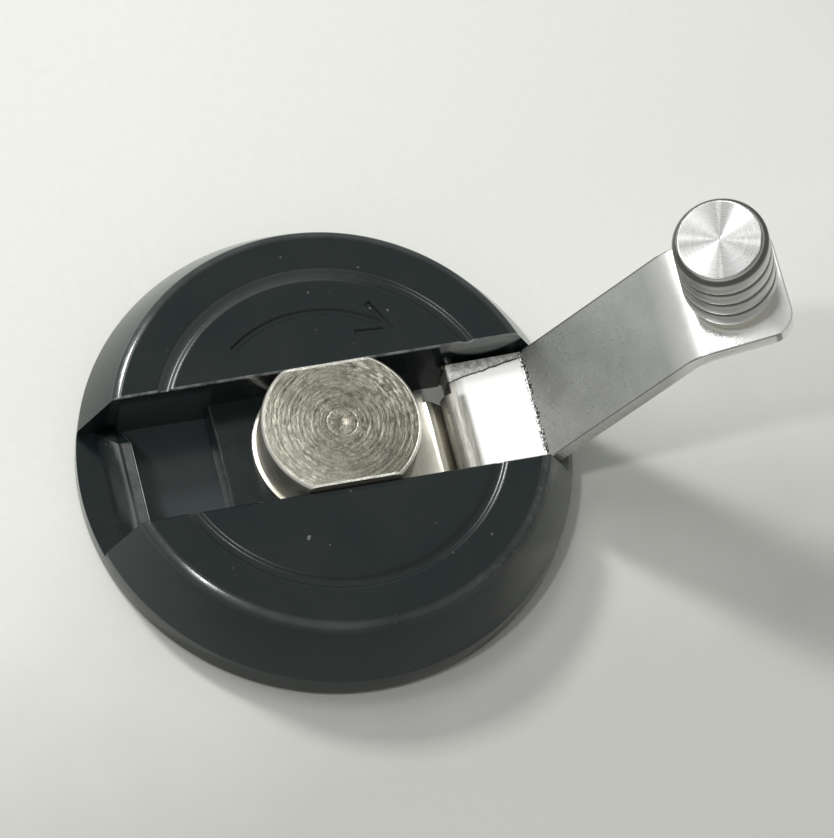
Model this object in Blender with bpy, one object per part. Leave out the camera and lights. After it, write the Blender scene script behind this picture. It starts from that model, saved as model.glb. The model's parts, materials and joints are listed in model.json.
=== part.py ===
"""Folding crank knob: a slotted round cap, a cranked lever that folds on a hinge pin in the
slot, and a small ribbed finger knob that spins on the end of the lever.

Metres, +Z up. The origin is the centre of the cap's flat underside. The slot runs along X and
the lever leaves it towards +X.
"""
import math

import bpy
import bmesh
from mathutils import Vector

MM = 0.001
SLACK = 0.05 * MM        # running clearance between pieces
TURN_STEPS = 64          # facets round the cap
SMALL_STEPS = 32         # facets round small turned pieces

# Cap
CAP_R = 12.5 * MM
CAP_FOOT = 0.2 * MM      # break on the bottom edge
EDGE = 0.1 * MM          # small edge breaks and wall drafts
SKIRT_Z = 1.6 * MM
SHOULDER_R = 11.0 * MM
SHOULDER_Z = 4.55 * MM
TOP_R = 10.65 * MM
TOP_Z = 4.7 * MM
RING_IN_R = 8.3 * MM
RING_W = 0.45 * MM
RING_DEPTH = 0.12 * MM
RING_BEVEL = 0.06 * MM   # draft of the ring's sides

# Slot across the cap, its deep pocket at the left and the ridge that closes it
SLOT_HALF = 3.4 * MM
SLOT_Z = 2.2 * MM
POCKET_X = -5.33 * MM
POCKET_Z = 0.75 * MM
RIDGE_X = -10.0 * MM
RIDGE_Z = 4.4 * MM
RIDGE_OUT_X = -10.6 * MM
RIDGE_OUT_Z = 4.05 * MM
RIDGE_END_Y = 0.9 * MM    # beyond this its crest slopes down to the far wall
NOTCH_X = -11.1 * MM
NOTCH_Z = 1.15 * MM

# Hinge, and the window in the slot floor below it
HINGE_INSET = 5.4 * MM   # from the cap's outer radius
HINGE_X = CAP_R - HINGE_INSET
HINGE_Z = 2.25 * MM
KNUCKLE_R = 0.88 * MM
PIN_R = 0.27 * MM
PIN_HALF = 5.2 * MM
PIN_BREAK = 0.06 * MM
WINDOW_BACK = 2.1 * MM
WINDOW_LEFT = HINGE_X - WINDOW_BACK
WINDOW_RIGHT = HINGE_X + KNUCKLE_R + 2 * SLACK
KNUCKLE_END_Y = 1.5 * MM
LUG_WALL = 0.1 * MM
LUG_X = HINGE_X - PIN_R - SLACK - LUG_WALL

# Clips that hold the pin up in its grooves, and their screws
CLIP_IN_Y = SLOT_HALF + 0.35 * MM      # leaves a wall beside the slot
CLIP_OUT_Y = 6.2 * MM
CLIP_BEHIND = 1.1 * MM
CLIP_AHEAD = 2.8 * MM
CLIP_LEFT = HINGE_X - CLIP_BEHIND
CLIP_RIGHT = HINGE_X + CLIP_AHEAD
CLIP_T = 0.8 * MM
CLIP_TOP_Z = HINGE_Z - PIN_R - SLACK
SCREW_INSET = 1.15 * MM
SCREW_X = CLIP_RIGHT - SCREW_INSET
SCREW_Y = 4.95 * MM
SCREW_R = 0.45 * MM
SCREW_HEAD_R = 0.95 * MM
SCREW_HEAD_T = 0.6 * MM
SCREW_LENGTH = 2.2 * MM
DRIVE_SLOT_W = 0.25 * MM
DRIVE_SLOT_DEPTH = 0.25 * MM

# Drive stud
STUD_X = 0.43 * MM       # its axis lies a little off the cap's
HEAD_R = 4.05 * MM
HEAD_FLAT = SLOT_HALF - 2 * SLACK
HEAD_LIFT = 0.4 * MM     # the leaf lies in this gap
HEAD_Z = SLOT_Z + HEAD_LIFT
HEAD_TOP_Z = 5.05 * MM
HEAD_CHAMFER = 0.18 * MM
PIP_R = 0.4 * MM
PIP_DEPTH = 0.12 * MM
SHANK_R = 1.6 * MM
SHANK_END_Z = 0.0
WELL_R = 3.7 * MM
WELL_Z = 1.25 * MM
WASHER_R = 3.0 * MM
WASHER_T = 0.35 * MM
CLIP_RING_R = 2.35 * MM
CLIP_RING_T = 0.25 * MM
GROOVE_DEPTH = 0.3 * MM

# Leaf spring under the stud's head
LEAF_R = 4.23 * MM
LEAF_T = 0.3 * MM
LEAF_SIDE = SLOT_HALF - 4 * SLACK
LEAF_FAR_Y = 2.05 * MM
LEAF_BEND_BACK = 1.45 * MM
LEAF_BEND_X = HINGE_X - LEAF_BEND_BACK
LEAF_LIP = 0.72 * MM
LEAF_LIP_ANGLE = math.radians(48.0)
LEAF_LAP = 0.4 * MM      # the lip is joined over this much of the flat part
LEAF_SLOPE = 0.6 * MM    # slanted step from the round end to the narrower tongue

# Lever: three straight runs of one sheet, measured on its upper face
SHEET_T = 0.87 * MM
LEVER_HALF = 3.05 * MM
RUN_ANGLES = [math.radians(a) for a in (2.0, 55.3, 16.0)]
FLAT_REACH = 3.5 * MM    # from the hinge axis to the first crease
RISE = 10.9 * MM
PAD_LENGTH = 5.2 * MM
CREASE_R = 0.3 * MM
KNEE_R = 1.9 * MM
PAD_CORNER_R = 1.3 * MM
BEND_STEPS = 6

# Finger knob
KNOB_ALONG = 2.62 * MM   # from the knee, along the pad
KNOB_H = 6.0 * MM
KNOB_R = 2.38 * MM
KNOB_FACE_R = 2.1 * MM
KNOB_BASE_R = 2.0 * MM
KNOB_BASE_H = 0.55 * MM
KNOB_BASE_CONE = 0.35 * MM
KNOB_TOP_CHAMFER = 0.25 * MM
KNOB_RIBS = 4
RIB_DEPTH = 0.22 * MM
RIB_CROWN = 0.03 * MM
STEM_R = 0.8 * MM
STEM_TAIL = 1.15 * MM    # below the pad
KNOB_WASHER_R = 1.55 * MM
KNOB_WASHER_T = 0.25 * MM
KNOB_RING_R = 1.3 * MM
KNOB_RING_T = 0.2 * MM
KNOB_GROOVE_DEPTH = 0.22 * MM

# Arrow engraved on the top face
ARROW_CY = 0.22 * MM
ARROW_R = 6.2 * MM
ARROW_W = 0.33 * MM
ARROW_DEPTH = 0.1 * MM
ARROW_FROM = math.radians(130.0)
ARROW_TO = math.radians(47.5)
ARROW_BARB = 1.85 * MM
ARROW_BARB_W = 0.28 * MM
ARROW_LEAN = math.radians(10.0)        # the head follows the arc's chord, not its tangent
ARROW_SPREAD = math.radians(29.0)
BIG = 20.0 * MM          # cutters run this far past the cap


def clear_scene():
    for obj in list(bpy.data.objects):
        bpy.data.objects.remove(obj, do_unlink=True)


def material(name, colour, roughness, metallic):
    mat = bpy.data.materials.new(name)
    mat.use_nodes = True
    shader = mat.node_tree.nodes["Principled BSDF"]
    shader.inputs["Base Color"].default_value = (*colour, 1.0)
    shader.inputs["Roughness"].default_value = roughness
    shader.inputs["Metallic"].default_value = metallic
    mat.diffuse_color = (*colour, 1.0)
    return mat


def add_object(name, bm, mat=None, smooth=None):
    bmesh.ops.recalc_face_normals(bm, faces=bm.faces)
    mesh = bpy.data.meshes.new(name)
    bm.to_mesh(mesh)
    bm.free()
    if smooth is not None:
        mesh.shade_smooth()
        mesh.set_sharp_from_angle(angle=math.radians(smooth))
    if mat is not None:
        mesh.materials.append(mat)
    obj = bpy.data.objects.new(name, mesh)
    bpy.context.scene.collection.objects.link(obj)
    return obj


def turned(profile, steps):
    """Lathe a closed (radius, height) outline about Z. A point at radius 0 is a pole."""
    bm = bmesh.new()
    rings = []
    for radius, height in profile:
        if radius == 0.0:
            rings.append([bm.verts.new((0.0, 0.0, height))])
        else:
            ring = []
            for i in range(steps):
                a = 2.0 * math.pi * i / steps
                ring.append(bm.verts.new((radius * math.cos(a), radius * math.sin(a), height)))
            rings.append(ring)
    count = len(rings)
    open_ends = len(rings[0]) == 1 and len(rings[-1]) == 1
    for k in range(count - 1 if open_ends else count):
        low, high = rings[k], rings[(k + 1) % count]
        for i in range(steps):
            j = (i + 1) % steps
            if len(low) == 1:
                bm.faces.new((low[0], high[i], high[j]))
            elif len(high) == 1:
                bm.faces.new((low[i], low[j], high[0]))
            else:
                bm.faces.new((low[i], low[j], high[j], high[i]))
    return bm


def prism(outline, low, high, along):
    """Extrude a closed outline: (y, z) along 'X', (x, z) along 'Y' or (x, y) along 'Z'."""
    bm = bmesh.new()
    if along == "X":
        near = [bm.verts.new((low, u, v)) for u, v in outline]
        far = [bm.verts.new((high, u, v)) for u, v in outline]
    elif along == "Y":
        near = [bm.verts.new((u, low, v)) for u, v in outline]
        far = [bm.verts.new((u, high, v)) for u, v in outline]
    else:
        near = [bm.verts.new((u, v, low)) for u, v in outline]
        far = [bm.verts.new((u, v, high)) for u, v in outline]
    bm.faces.new(near)
    bm.faces.new(list(reversed(far)))
    count = len(outline)
    for i in range(count):
        j = (i + 1) % count
        bm.faces.new((near[j], near[i], far[i], far[j]))
    return bm


def rectangle(left, right, low, high):
    return [(left, low), (right, low), (right, high), (left, high)]


def arc(cx, cy, radius, start, end, steps):
    points = []
    for i in range(steps + 1):
        a = start + (end - start) * i / steps
        points.append((cx + radius * math.cos(a), cy + radius * math.sin(a)))
    return points


def offset(point, angle, distance):
    """Move a point squarely off a run at this angle."""
    return (point[0] - distance * math.sin(angle), point[1] + distance * math.cos(angle))


def along(point, angle, distance):
    return (point[0] + distance * math.cos(angle), point[1] + distance * math.sin(angle))


def cutter(name, bm):
    obj = add_object(name, bm)
    obj.hide_render = True
    obj.display_type = "WIRE"
    return obj


def cut(obj, tool, operation="DIFFERENCE"):
    modifier = obj.modifiers.new(tool.name, "BOOLEAN")
    modifier.operation = operation
    modifier.solver = "EXACT"
    modifier.object = tool


def shifted(bm, x, y, z):
    bmesh.ops.translate(bm, verts=bm.verts, vec=Vector((x, y, z)))
    return bm


def open_ring(inner, outer, low, high, gap):
    """A flat snap ring, open over a small angle towards +X."""
    start = gap / 2.0
    end = 2.0 * math.pi - gap / 2.0
    outline = arc(0.0, 0.0, outer, start, end, SMALL_STEPS)
    outline += list(reversed(arc(0.0, 0.0, inner, start, end, SMALL_STEPS)))
    return prism(outline, low, high, "Z")


clear_scene()

mat_cap = material("cap_black", (0.012, 0.016, 0.015), 0.12, 0.0)
mat_stud = material("stud_steel", (0.36, 0.34, 0.30), 0.34, 1.0)
mat_leaf = material("leaf_steel", (0.62, 0.58, 0.50), 0.32, 1.0)
mat_lever = material("lever_steel", (0.66, 0.66, 0.63), 0.36, 1.0)
mat_pin = material("pin_steel", (0.55, 0.55, 0.54), 0.3, 1.0)
mat_knob = material("knob_steel", (0.7, 0.69, 0.66), 0.24, 1.0)
mat_small = material("hardware_steel", (0.5, 0.5, 0.49), 0.35, 1.0)
mat_brass = material("clip_brass", (0.6, 0.45, 0.2), 0.35, 1.0)

# ---------------------------------------------------------------- cap
cap_profile = [
    (0.0, 0.0),
    (CAP_R - CAP_FOOT, 0.0),
    (CAP_R, CAP_FOOT),
    (CAP_R, SKIRT_Z),
    (SHOULDER_R, SHOULDER_Z),
    (TOP_R, TOP_Z),
    (RING_IN_R + RING_W, TOP_Z),
    (RING_IN_R + RING_W - RING_BEVEL, TOP_Z - RING_DEPTH),
    (RING_IN_R + RING_BEVEL, TOP_Z - RING_DEPTH),
    (RING_IN_R, TOP_Z),
    (0.0, TOP_Z),
]
cap = add_object("cap_body", turned(cap_profile, TURN_STEPS), mat_cap, 25.0)

slot_outline = [
    (BIG, SLOT_Z),
    (BIG, BIG),
    (-BIG, BIG),
    (-BIG, NOTCH_Z),
    (NOTCH_X, NOTCH_Z),
    (RIDGE_OUT_X, RIDGE_OUT_Z),
    (RIDGE_X, RIDGE_Z),
    (RIDGE_X + 2 * EDGE, POCKET_Z),
    (POCKET_X - EDGE, POCKET_Z),
    (POCKET_X, SLOT_Z),
]
cut(cap, cutter("slot_cutter", prism(slot_outline, -SLOT_HALF, SLOT_HALF, "Y")))

# The ridge's far end falls away to the notch's floor at the far wall.
ridge_end = [
    (RIDGE_END_Y, RIDGE_Z + EDGE),
    (SLOT_HALF, NOTCH_Z),
    (SLOT_HALF, BIG),
    (RIDGE_END_Y, BIG),
]
cut(cap, cutter("ridge_end_cutter", prism(ridge_end, -BIG, RIDGE_X + 2 * EDGE, "X")))

window = rectangle(WINDOW_LEFT, WINDOW_RIGHT, -BIG, TOP_Z)
cut(cap, cutter("window_cutter", prism(window, -SLOT_HALF, SLOT_HALF, "Y")))

groove = rectangle(HINGE_X - PIN_R - SLACK, HINGE_X + PIN_R + SLACK, -BIG, HINGE_Z + PIN_R + SLACK)
groove_half = PIN_HALF + SLACK
cut(cap, cutter("pin_groove_cutter", prism(groove, -groove_half, groove_half, "Y")))

well = turned([(0.0, -BIG), (WELL_R, -BIG), (WELL_R, WELL_Z), (0.0, WELL_Z)], SMALL_STEPS)
cut(cap, cutter("stud_well_cutter", shifted(well, STUD_X, 0.0, 0.0)))
bore_r = SHANK_R + SLACK
bore = turned([(0.0, 0.0), (bore_r, 0.0), (bore_r, BIG), (0.0, BIG)], SMALL_STEPS)
cut(cap, cutter("stud_bore_cutter", shifted(bore, STUD_X, 0.0, 0.0)))

for index, side in ((1, 1.0), (2, -1.0)):
    low, high = sorted((side * (CLIP_IN_Y - SLACK), side * (CLIP_OUT_Y + SLACK)))
    recess = rectangle(CLIP_LEFT - SLACK, CLIP_RIGHT + SLACK, -BIG, CLIP_TOP_Z + SLACK)
    cut(cap, cutter("clip_recess_cutter_%d" % index, prism(recess, low, high, "Y")))
    tap_r = SCREW_R + SLACK
    tap_top = CLIP_TOP_Z - CLIP_T + SCREW_LENGTH + 2 * SLACK
    tap = turned([(0.0, 0.0), (tap_r, 0.0), (tap_r, tap_top), (0.0, tap_top)], SMALL_STEPS // 2)
    cut(cap, cutter("screw_hole_cutter_%d" % index, shifted(tap, SCREW_X, side * SCREW_Y, 0.0)))

# Curved arrow on the far half of the top face: an arc and two strokes back from its tip.
arrow_low = TOP_Z - ARROW_DEPTH
arrow_arc = arc(0.0, ARROW_CY, ARROW_R + ARROW_W / 2.0, ARROW_FROM, ARROW_TO, 16)
arrow_arc += arc(0.0, ARROW_CY, ARROW_R - ARROW_W / 2.0, ARROW_TO, ARROW_FROM, 16)
cut(cap, cutter("arrow_arc_cutter", prism(arrow_arc, arrow_low, BIG, "Z")))
tip = (ARROW_R * math.cos(ARROW_TO), ARROW_CY + ARROW_R * math.sin(ARROW_TO))
back = ARROW_TO + math.pi / 2.0 + ARROW_LEAN
for index, spread in ((1, ARROW_SPREAD), (2, -ARROW_SPREAD)):
    stroke = back + spread
    ends = (tip, along(tip, stroke, ARROW_BARB))
    barb = [offset(ends[0], stroke, -ARROW_BARB_W / 2.0), offset(ends[1], stroke, -ARROW_BARB_W / 2.0),
            offset(ends[1], stroke, ARROW_BARB_W / 2.0), offset(ends[0], stroke, ARROW_BARB_W / 2.0)]
    barb_low = arrow_low - index * SLACK / 5.0
    cut(cap, cutter("arrow_barb_cutter_%d" % index, prism(barb, barb_low, BIG, "Z")))

# ---------------------------------------------------------------- drive stud
ring_z = WELL_Z - WASHER_T - 2 * SLACK - CLIP_RING_T
stud_profile = [
    (0.0, SHANK_END_Z),
    (SHANK_R - EDGE, SHANK_END_Z),
    (SHANK_R, SHANK_END_Z + EDGE),
    (SHANK_R, ring_z - SLACK),
    (SHANK_R - GROOVE_DEPTH, ring_z - SLACK),
    (SHANK_R - GROOVE_DEPTH, ring_z + CLIP_RING_T + SLACK),
    (SHANK_R, ring_z + CLIP_RING_T + SLACK),
    (SHANK_R, HEAD_Z),
    (HEAD_R, HEAD_Z),
    (HEAD_R, HEAD_TOP_Z - HEAD_CHAMFER),
    (HEAD_R - HEAD_CHAMFER, HEAD_TOP_Z),
    (PIP_R, HEAD_TOP_Z),
    (0.0, HEAD_TOP_Z - PIP_DEPTH),
]
stud = add_object("drive_stud", turned(stud_profile, SMALL_STEPS + 16), mat_stud, 25.0)
stud.location = (STUD_X, 0.0, 0.0)
for index, side in ((1, 1.0), (2, -1.0)):
    low, high = sorted((side * HEAD_FLAT, side * BIG))
    flat = rectangle(-BIG, BIG, HEAD_Z - HEAD_LIFT, BIG)
    cut(stud, cutter("stud_flat_cutter_%d" % index, prism(flat, low, high, "Y")))

washer_low = WELL_Z - SLACK - WASHER_T
washer_in = SHANK_R + SLACK
washer = [(washer_in, washer_low), (WASHER_R, washer_low),
          (WASHER_R, washer_low + WASHER_T), (washer_in, washer_low + WASHER_T)]
stud_washer = add_object("stud_washer", turned(washer, SMALL_STEPS), mat_small, 25.0)
stud_washer.location = stud.location
snap_in = SHANK_R - GROOVE_DEPTH + SLACK
snap = open_ring(snap_in, CLIP_RING_R, ring_z, ring_z + CLIP_RING_T, math.radians(50.0))
stud_ring = add_object("stud_snap_ring", snap, mat_small, 25.0)
stud_ring.location = stud.location

# ---------------------------------------------------------------- leaf spring
leaf_low = SLOT_Z + SLACK / 2.0
leaf_top = leaf_low + LEAF_T
side_angle = math.asin(LEAF_SIDE / LEAF_R)
leaf_outline = arc(STUD_X, 0.0, LEAF_R, math.pi - side_angle, math.pi + side_angle, 16)
leaf_outline += [
    (LEAF_BEND_X, -LEAF_SIDE),
    (LEAF_BEND_X, LEAF_FAR_Y),
    (STUD_X + LEAF_R * math.cos(side_angle) + LEAF_SLOPE, LEAF_FAR_Y),
    (STUD_X + LEAF_R * math.cos(side_angle), LEAF_SIDE),
]
leaf = add_object("leaf_spring", prism(leaf_outline, leaf_low, leaf_top, "Z"), mat_leaf, 25.0)
lip_dx = LEAF_LIP * math.cos(LEAF_LIP_ANGLE)
lip_dz = LEAF_LIP * math.sin(LEAF_LIP_ANGLE)
skew = LEAF_T * math.tan(LEAF_LIP_ANGLE / 2.0)
lip_outline = [
    (LEAF_BEND_X - LEAF_LAP, leaf_low),
    (LEAF_BEND_X - LEAF_LAP, leaf_top),
    (LEAF_BEND_X, leaf_top),
    (LEAF_BEND_X + lip_dx, leaf_top - lip_dz),
    (LEAF_BEND_X + lip_dx - LEAF_T * math.sin(LEAF_LIP_ANGLE),
     leaf_top - lip_dz - LEAF_T * math.cos(LEAF_LIP_ANGLE)),
    (LEAF_BEND_X - skew, leaf_low),
]
lip = cutter("leaf_lip_shape", prism(lip_outline, EDGE - LEAF_SIDE, KNUCKLE_END_Y, "Y"))
cut(leaf, lip, "UNION")
leaf_hole = turned([(0.0, 0.0), (bore_r, 0.0), (bore_r, BIG), (0.0, BIG)], SMALL_STEPS)
cut(leaf, cutter("leaf_hole_cutter", shifted(leaf_hole, STUD_X, 0.0, 0.0)))

# ---------------------------------------------------------------- lever
# The mesh is laid out about the hinge axis, and the object stands on that axis.
flat_run, rise_run, pad_run = RUN_ANGLES
root_top = offset((0.0, 0.0), flat_run, KNUCKLE_R)
flat_length = (FLAT_REACH - root_top[0]) / math.cos(flat_run)
crease = along(root_top, flat_run, flat_length)
knee = along(crease, rise_run, RISE)
pad_end = along(knee, pad_run, PAD_LENGTH)

upper = [(root_top, flat_run)]
crease_back = CREASE_R * math.tan((rise_run - flat_run) / 2.0)
crease_start = along(crease, flat_run, -crease_back)
crease_centre = offset(crease_start, flat_run, CREASE_R)
for i in range(BEND_STEPS + 1):
    turn = flat_run + (rise_run - flat_run) * i / BEND_STEPS
    upper.append((offset(crease_centre, turn, -CREASE_R), turn))
knee_back = KNEE_R * math.tan((rise_run - pad_run) / 2.0)
knee_start = along(knee, rise_run, -knee_back)
knee_centre = offset(knee_start, rise_run, -KNEE_R)
for i in range(BEND_STEPS + 1):
    turn = rise_run + (pad_run - rise_run) * i / BEND_STEPS
    upper.append((offset(knee_centre, turn, KNEE_R), turn))
upper.append((pad_end, pad_run))
lower = [offset(p, turn, -SHEET_T) for p, turn in reversed(upper[1:])]
lever_outline = [p for p, turn in upper] + lower
# round the knuckle, from where the underside meets it, below and behind, up to the flat run
lever_outline += arc(0.0, 0.0, KNUCKLE_R, flat_run, flat_run - 1.5 * math.pi, 20)[:-1]

lever_mesh = prism(lever_outline, -LEVER_HALF, LEVER_HALF, "Y")
end_edges = []
for edge in lever_mesh.edges:
    a, b = edge.verts
    beyond = all(
        (v.co.x - pad_end[0]) * math.cos(pad_run) + (v.co.z - pad_end[1]) * math.sin(pad_run)
        > -0.01 * MM
        for v in (a, b)
    )
    if beyond and abs(a.co.y - b.co.y) < 0.01 * MM:
        end_edges.append(edge)
bmesh.ops.bevel(
    lever_mesh, geom=end_edges, offset=PAD_CORNER_R, segments=5, profile=0.5, affect="EDGES"
)
lever = add_object("crank_lever", lever_mesh, mat_lever, 25.0)
lever.location = (HINGE_X, 0.0, HINGE_Z)

hinge_hole = arc(HINGE_X, HINGE_Z, PIN_R + SLACK, 0.0, 2.0 * math.pi * 15 / 16, 15)
cut(lever, cutter("hinge_hole_cutter", prism(hinge_hole, -BIG, BIG, "Y")))
lug_cut = rectangle(HINGE_X - 2 * KNUCKLE_R, LUG_X, HINGE_Z - 2 * KNUCKLE_R, HINGE_Z + 2 * KNUCKLE_R)
cut(lever, cutter("lug_cutter", prism(lug_cut, KNUCKLE_END_Y + SLACK, BIG, "Y")))

knob_foot = along(knee, pad_run, KNOB_ALONG)
knob_place = (HINGE_X + knob_foot[0], 0.0, HINGE_Z + knob_foot[1])
stem_hole_r = STEM_R + SLACK
stem_hole_end = 2 * SHEET_T
stem_hole = turned([(0.0, -stem_hole_end), (stem_hole_r, -stem_hole_end),
                    (stem_hole_r, stem_hole_end), (0.0, stem_hole_end)], SMALL_STEPS)
stem_cutter = cutter("stem_hole_cutter", stem_hole)
stem_cutter.location = knob_place
stem_cutter.rotation_euler = (0.0, -pad_run, 0.0)
cut(lever, stem_cutter)

# ---------------------------------------------------------------- hinge pin
pin_profile = [
    (0.0, -PIN_HALF),
    (PIN_R - PIN_BREAK, -PIN_HALF),
    (PIN_R, -PIN_HALF + PIN_BREAK),
    (PIN_R, PIN_HALF - PIN_BREAK),
    (PIN_R - PIN_BREAK, PIN_HALF),
    (0.0, PIN_HALF),
]
pin = add_object("hinge_pin", turned(pin_profile, SMALL_STEPS // 2), mat_pin, 25.0)
pin.rotation_euler = (math.pi / 2.0, 0.0, 0.0)
pin.location = (HINGE_X, 0.0, HINGE_Z)

# ---------------------------------------------------------------- pin clips and screws
clip_low = CLIP_TOP_Z - CLIP_T
for index, side in ((1, 1.0), (2, -1.0)):
    low, high = sorted((side * CLIP_IN_Y, side * CLIP_OUT_Y))
    plate = rectangle(CLIP_LEFT, CLIP_RIGHT, low, high)
    clip = add_object("pin_clip_%d" % index, prism(plate, clip_low, CLIP_TOP_Z, "Z"), mat_brass)
    hole_r = SCREW_R + SLACK
    hole = turned([(0.0, 0.0), (hole_r, 0.0), (hole_r, BIG), (0.0, BIG)], SMALL_STEPS // 2)
    shifted(hole, SCREW_X, side * SCREW_Y, 0.0)
    cut(clip, cutter("clip_hole_cutter_%d" % index, hole))

    head_top = clip_low - SLACK
    head_low = head_top - SCREW_HEAD_T
    screw_profile = [
        (0.0, head_low),
        (SCREW_HEAD_R - EDGE, head_low),
        (SCREW_HEAD_R, head_low + EDGE),
        (SCREW_HEAD_R, head_top),
        (SCREW_R, head_top),
        (SCREW_R, clip_low + SCREW_LENGTH - EDGE),
        (SCREW_R - EDGE, clip_low + SCREW_LENGTH),
        (0.0, clip_low + SCREW_LENGTH),
    ]
    screw = add_object("clip_screw_%d" % index, turned(screw_profile, SMALL_STEPS // 2),
                       mat_small, 25.0)
    screw.location = (SCREW_X, side * SCREW_Y, 0.0)
    half = DRIVE_SLOT_W / 2.0
    slit = rectangle(-half, half, head_low - SCREW_HEAD_T, head_low + DRIVE_SLOT_DEPTH)
    slit_half = 2 * SCREW_HEAD_R
    slit_cutter = cutter("drive_slot_cutter_%d" % index, prism(slit, -slit_half, slit_half, "Y"))
    slit_cutter.location = screw.location
    slit_cutter.rotation_euler = (0.0, 0.0, math.radians(35.0) * side)
    cut(screw, slit_cutter)

# ---------------------------------------------------------------- finger knob
# Drawn upright about its own spindle axis, then stood squarely on the pad.
knob_axis = bpy.data.objects.new("knob_axis", None)
knob_axis.empty_display_size = 2 * MM
knob_axis.location = knob_place
knob_axis.rotation_euler = (0.0, -pad_run, 0.0)
bpy.context.scene.collection.objects.link(knob_axis)

rib_low = SLACK + KNOB_BASE_H + KNOB_BASE_CONE
rib_high = KNOB_H - KNOB_TOP_CHAMFER
rib_pitch = (rib_high - rib_low) / KNOB_RIBS
stem_low = -SHEET_T - STEM_TAIL
ring_high = -SHEET_T - 3 * SLACK - KNOB_WASHER_T
ring_low = ring_high - KNOB_RING_T
knob_profile = [
    (0.0, stem_low),
    (STEM_R - EDGE, stem_low),
    (STEM_R, stem_low + EDGE),
    (STEM_R, ring_low - SLACK),
    (STEM_R - KNOB_GROOVE_DEPTH, ring_low - SLACK),
    (STEM_R - KNOB_GROOVE_DEPTH, ring_high + SLACK),
    (STEM_R, ring_high + SLACK),
    (STEM_R, SLACK),
    (KNOB_BASE_R, SLACK),
    (KNOB_BASE_R, SLACK + KNOB_BASE_H),
    (KNOB_R - RIB_DEPTH, rib_low),
]
for rib in range(KNOB_RIBS):
    base = rib_low + rib * rib_pitch
    knob_profile.append((KNOB_R - RIB_CROWN, base + 0.25 * rib_pitch))
    knob_profile.append((KNOB_R, base + 0.5 * rib_pitch))
    knob_profile.append((KNOB_R - RIB_CROWN, base + 0.75 * rib_pitch))
    knob_profile.append((KNOB_R - RIB_DEPTH, base + rib_pitch))
knob_profile += [
    (KNOB_FACE_R, KNOB_H),
    (0.0, KNOB_H),
]
knob = add_object("finger_knob", turned(knob_profile, SMALL_STEPS + 8), mat_knob, 25.0)
knob.parent = knob_axis

knob_washer_high = -SHEET_T - SLACK
knob_washer = [
    (STEM_R + SLACK, knob_washer_high - KNOB_WASHER_T),
    (KNOB_WASHER_R, knob_washer_high - KNOB_WASHER_T),
    (KNOB_WASHER_R, knob_washer_high),
    (STEM_R + SLACK, knob_washer_high),
]
spacer = add_object("knob_washer", turned(knob_washer, SMALL_STEPS), mat_small, 25.0)
spacer.parent = knob_axis
snap_in = STEM_R - KNOB_GROOVE_DEPTH + SLACK
snap = open_ring(snap_in, KNOB_RING_R, ring_low, ring_high, math.radians(55.0))
snap_ring = add_object("knob_snap_ring", snap, mat_small, 25.0)
snap_ring.parent = knob_axis
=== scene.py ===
"""Folding crank knob: a glossy black slotted cap, a turned steel stud, a leaf spring, a cranked
steel lever and a ribbed finger knob, shown on a pale floor.

Sizes are in millimetres unless said. +Z is up, the slot runs along X and the lever leaves it
towards +X.
"""
import json
import math

import bpy
from mathutils import Matrix, Vector


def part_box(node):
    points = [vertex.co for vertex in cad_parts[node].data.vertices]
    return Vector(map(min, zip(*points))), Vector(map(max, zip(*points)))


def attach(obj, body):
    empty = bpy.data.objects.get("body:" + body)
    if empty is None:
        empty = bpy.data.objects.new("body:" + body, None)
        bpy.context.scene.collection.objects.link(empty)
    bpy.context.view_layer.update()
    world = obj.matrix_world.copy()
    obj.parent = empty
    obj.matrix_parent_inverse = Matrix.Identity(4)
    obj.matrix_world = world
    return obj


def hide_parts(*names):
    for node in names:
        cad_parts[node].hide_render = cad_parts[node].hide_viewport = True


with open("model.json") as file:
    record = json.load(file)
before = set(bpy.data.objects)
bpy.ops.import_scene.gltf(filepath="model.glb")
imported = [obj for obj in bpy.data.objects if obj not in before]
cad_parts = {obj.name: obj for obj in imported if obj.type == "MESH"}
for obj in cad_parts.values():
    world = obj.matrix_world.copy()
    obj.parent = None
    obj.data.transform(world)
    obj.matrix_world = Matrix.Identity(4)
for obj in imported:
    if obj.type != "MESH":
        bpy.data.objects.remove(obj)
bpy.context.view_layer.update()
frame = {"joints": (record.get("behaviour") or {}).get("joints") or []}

MM = 0.001


# ---------------------------------------- places taken from the model
def corners(node_name):
    """The lowest and highest corner of a node's box."""
    return tuple(Vector(corner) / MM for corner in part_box(node_name))


def middle(node_name):
    low, high = corners(node_name)
    return (low + high) / 2


def joint(name):
    for item in frame["joints"]:
        if item["name"] == name:
            return item
    raise KeyError(name)


FOLD = Vector(joint("lever_fold")["pos_m"]) / MM          # hinge axis, along Y
KNOB_FOOT = Vector(joint("knob_spin")["pos_m"]) / MM      # where the knob stands on the pad
STUD_X = middle("drive_stud").x

# ---------------------------------------- sizes of the visible pieces
GAP = 0.05                # running clearance
BEYOND = 20.0             # a cutting tool reaches this far, well past every piece

CAP_R = 12.5
SKIRT_Z = 1.6
SHOULDER_R = 11.0
SHOULDER_Z = 4.55
TOP_R = 10.65
TOP_Z = 4.7
GROOVE_R = 8.52           # engraved ring
GROOVE_DEPTH = 0.14
SLOT_HALF = 3.4
SLOT_Z = 2.2
EDGE_BREAK = 0.07
NOTCH_X = -11.1
NOTCH_Z = 1.15
RIDGE_OUT_X = -10.6
RIDGE_OUT_Z = 4.05
CREST_X = -10.0           # the ridge's crest
CREST_Z = 4.4
POCKET_LEFT = -9.8
POCKET_RIGHT = -5.43
POCKET_Z = 0.75
RIDGE_END_Y = 0.9         # beyond this the crest falls to the far wall
WELL_R = 3.7
WELL_Z = 1.25

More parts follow.
